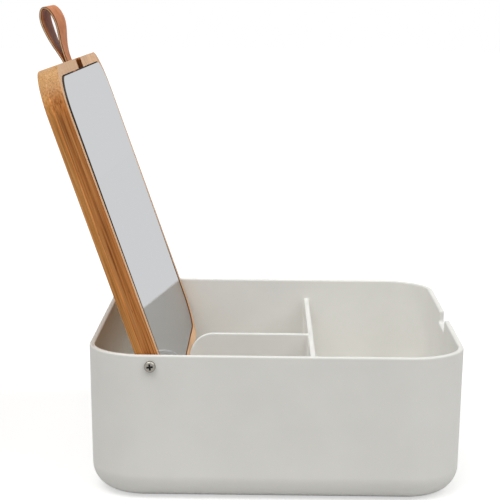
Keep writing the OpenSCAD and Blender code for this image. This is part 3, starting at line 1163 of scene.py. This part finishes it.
pair_tree, given, result = new_tree(
    "Same piece on both sides",
    [("Piece", "Object"), ("Seat", "Float"), ("Axis", "Vector"), ("Material", "Material")],
)
info = add(pair_tree, "GeometryNodeObjectInfo", {"Object": given["Piece"]})
sides = []
for sign in (-1, 1):
    reach = add(pair_tree, "ShaderNodeMath", {0: given["Seat"], 1: sign}, operation="MULTIPLY")
    offset = add(pair_tree, "ShaderNodeCombineXYZ", {"X": reach.outputs[0]})
    place = add(pair_tree, "ShaderNodeVectorMath", {0: given["Axis"], 1: offset.outputs[0]})
    point = add(pair_tree, "GeometryNodePoints", {"Count": 1, "Position": place.outputs[0]})
    onto = add(
        pair_tree,
        "GeometryNodeInstanceOnPoints",
        {
            "Points": point.outputs[0],
            "Instance": info.outputs["Geometry"],
            "Rotation": (0, sign * math.pi / 2, 0),
        },
    )
    sides.append(onto.outputs[0])
both = add(pair_tree, "GeometryNodeJoinGeometry")
for side in sides:
    pair_tree.links.new(side, both.inputs[0])
real = add(pair_tree, "GeometryNodeRealizeInstances", {"Geometry": both.outputs[0]})
finished = add(
    pair_tree,
    "GeometryNodeSetMaterial",
    {"Geometry": real.outputs["Geometry"], "Material": given["Material"]},
)
pair_tree.links.new(finished.outputs["Geometry"], result["Geometry"])


def pair(source, seat, material):
    """A bmesh of one piece on the pivot axis at each side, its own +Z pointing out."""
    mesh = run_tree(
        "Pair",
        pair_tree,
        {"Piece": source, "Seat": seat, "Axis": tuple(pivot), "Material": material},
    )
    bpy.data.objects.remove(source)
    solid = bmesh.new()
    solid.from_mesh(mesh)
    return solid


nickel = nickel_plate("nickel plated steel", "#98948C")
# Nickel painted dark, standing for the shade inside the cross recess
cross_shade_nickel = nickel_plate("nickel with painted shade in the cross", "#2C2A28")
# The cross is painted dark, as shade: its walls, and what lies well below the crown
cross_reach = cross_l * cross_mouth / 2
crown_sag = 0.12 * MM
below_crown = 0.5 * MM
beyond_floor = 0.2 * MM
screws = pair(pan_screw(), screw_seat - head_h, nickel)
for face in screws.faces:
    middle = face.calc_center_median()
    off_axis = math.hypot(middle.y - pivot.y, middle.z - pivot.z)
    sunk = screw_seat - crown_sag - abs(middle.x)
    outwards = face.normal.x * middle.x > 0.97 * abs(middle.x)
    in_cross = off_axis < cross_reach and 0 < sunk < cross_deep + beyond_floor
    face.material_index = 1 if in_cross and (not outwards or sunk > below_crown) else 0
new_piece(
    "pivot_screw_pair",
    screws,
    [nickel, cross_shade_nickel],
    "lid",
    "screw_steel",
    "pivot_screws",
)
give_material("strap_screws", nickel)

# Washers. Two rings of natural nylon, moulded, on the pivot screws in the gap between
# the lid and the wall, where they keep the bamboo off the plastic as the lid turns.


def moulded_nylon():
    """Natural nylon, moulded: milky, a little shiny."""
    milk_size = 2 * MM
    material, tree, output = new_material("moulded nylon")
    place = add(tree, "ShaderNodeTexCoord").outputs["Object"]
    milk = add(tree, "ShaderNodeTexNoise", {"Vector": place, "Scale": 1 / milk_size})
    colour = add(
        tree,
        "ShaderNodeValToRGB",
        {"Fac": milk.outputs["Fac"]},
        stops=[(0.35, linear("#DAD7CC")), (0.65, linear("#E6E3DA"))],
    )
    shader = add(
        tree,
        "ShaderNodeBsdfPrincipled",
        {"Base Color": colour.outputs["Color"], "Roughness": 0.4, "IOR": 1.53},
    )
    tree.links.new(shader.outputs["BSDF"], output.inputs["Surface"])
    return material


give_material("pivot_washers", moulded_nylon())

# Floor. A sheet of matt white board under the box, wide enough to fill the view. The
# camera and the mirror see it as white, and it still takes the box's shadow.
floor_size = 12.0
camera_lift = 0.56
mirror_lift = 0.4


def pale_floor():
    """Matt white board. What the camera and mirrors see of it is lifted to white."""
    material, tree, output = new_material("matt white board")
    rays = add(tree, "ShaderNodeLightPath").outputs
    mirrored = add(
        tree,
        "ShaderNodeMath",
        {0: rays["Is Glossy Ray"], 1: rays["Is Transmission Ray"]},
        operation="MAXIMUM",
    )
    lift = add(
        tree, "ShaderNodeMath", {0: mirrored.outputs[0], 1: mirror_lift}, operation="MULTIPLY"
    )
    lift = add(
        tree,
        "ShaderNodeMath",
        {0: rays["Is Camera Ray"], 1: camera_lift, 2: lift.outputs[0]},
        operation="MULTIPLY_ADD",
    )
    matt = add(tree, "ShaderNodeBsdfDiffuse", {"Color": linear("#CBCBCA")})
    glow = add(
        tree, "ShaderNodeEmission", {"Color": (1, 1, 1, 1), "Strength": lift.outputs[0]}
    )
    both = add(tree, "ShaderNodeAddShader", {0: matt.outputs[0], 1: glow.outputs[0]})
    tree.links.new(both.outputs[0], output.inputs["Surface"])
    return material


floor_mesh = bpy.data.meshes.new("floor")
half = floor_size / 2
floor_mesh.from_pydata(
    [(-half, -half, 0), (half, -half, 0), (half, half, 0), (-half, half, 0)], [], [(0, 1, 2, 3)]
)
floor_mesh.materials.append(pale_floor())
floor = bpy.data.objects.new("floor", floor_mesh)
bpy.context.scene.collection.objects.link(floor)

# Studio. A white surround that the camera, metal and glass see at full strength, while it
# lights the box more weakly, and two soft lights above the camera's side of the box, one
# over its rear and one over its front.
ambient = 0.26
soft_angle = math.radians(45)
surround = bpy.data.worlds.new("white surround")
bpy.context.scene.world = surround
surround.use_nodes = True
air = surround.node_tree
air.nodes.clear()
rays = add(air, "ShaderNodeLightPath").outputs
seen = add(
    air, "ShaderNodeMath", {0: rays["Is Camera Ray"], 1: rays["Is Glossy Ray"]}, operation="ADD"
)
seen = add(
    air,
    "ShaderNodeMath",
    {0: seen.outputs[0], 1: rays["Is Transmission Ray"]},
    operation="MAXIMUM",
)
strength = add(
    air, "ShaderNodeMapRange", {"Value": seen.outputs[0], "To Min": ambient, "To Max": 1.0}
)
backdrop = add(
    air,
    "ShaderNodeBackground",
    {"Color": (1, 1, 1, 1), "Strength": strength.outputs["Result"]},
)
world_output = add(air, "ShaderNodeOutputWorld")
air.links.new(backdrop.outputs[0], world_output.inputs["Surface"])

# Each light's name, the direction that it shines in, and how strongly it lights white
for name, direction, level in (
    ("softbox, over the rear", (0.32, -0.32, -1), 0.5),
    ("softbox, over the front", (0.32, 0.6, -0.8), 0.36),
):
    light = bpy.data.lights.new(name, "SUN")
    light.energy = level * math.pi
    light.angle = soft_angle
    lamp = bpy.data.objects.new(name, light)
    bpy.context.scene.collection.objects.link(lamp)
    lamp.rotation_mode = "QUATERNION"
    lamp.rotation_quaternion = Vector(direction).to_track_quat("-Z", "Y")

# Camera. A long lens, nearly a metre from the box's side, as the photograph was taken: a
# little above the open lid's top, looking down, and rolled by half a degree.
camera_data = bpy.data.cameras.new("camera")
camera_data.lens = 112.26
camera_data.sensor_width = 36
camera_data.clip_start = 0.02
camera_place = Vector((-894.54, 5.73, 265.3)) * MM
pitch, yaw, roll = math.radians(-9.47), math.radians(0.62), math.radians(0.48)
forward = Vector(
    (math.cos(pitch) * math.cos(yaw), math.cos(pitch) * math.sin(yaw), math.sin(pitch))
)
level_right = forward.cross(Vector((0, 0, 1))).normalized()
right = Matrix.Rotation(-roll, 3, forward) @ level_right
up = right.cross(forward)
camera = bpy.data.objects.new("camera", camera_data)
bpy.context.scene.collection.objects.link(camera)
camera.matrix_world = Matrix.Translation(camera_place) @ Matrix(
    (right, up, -forward)
).transposed().to_4x4()
bpy.context.scene.camera = camera
bpy.context.scene.view_settings.view_transform = "Standard"
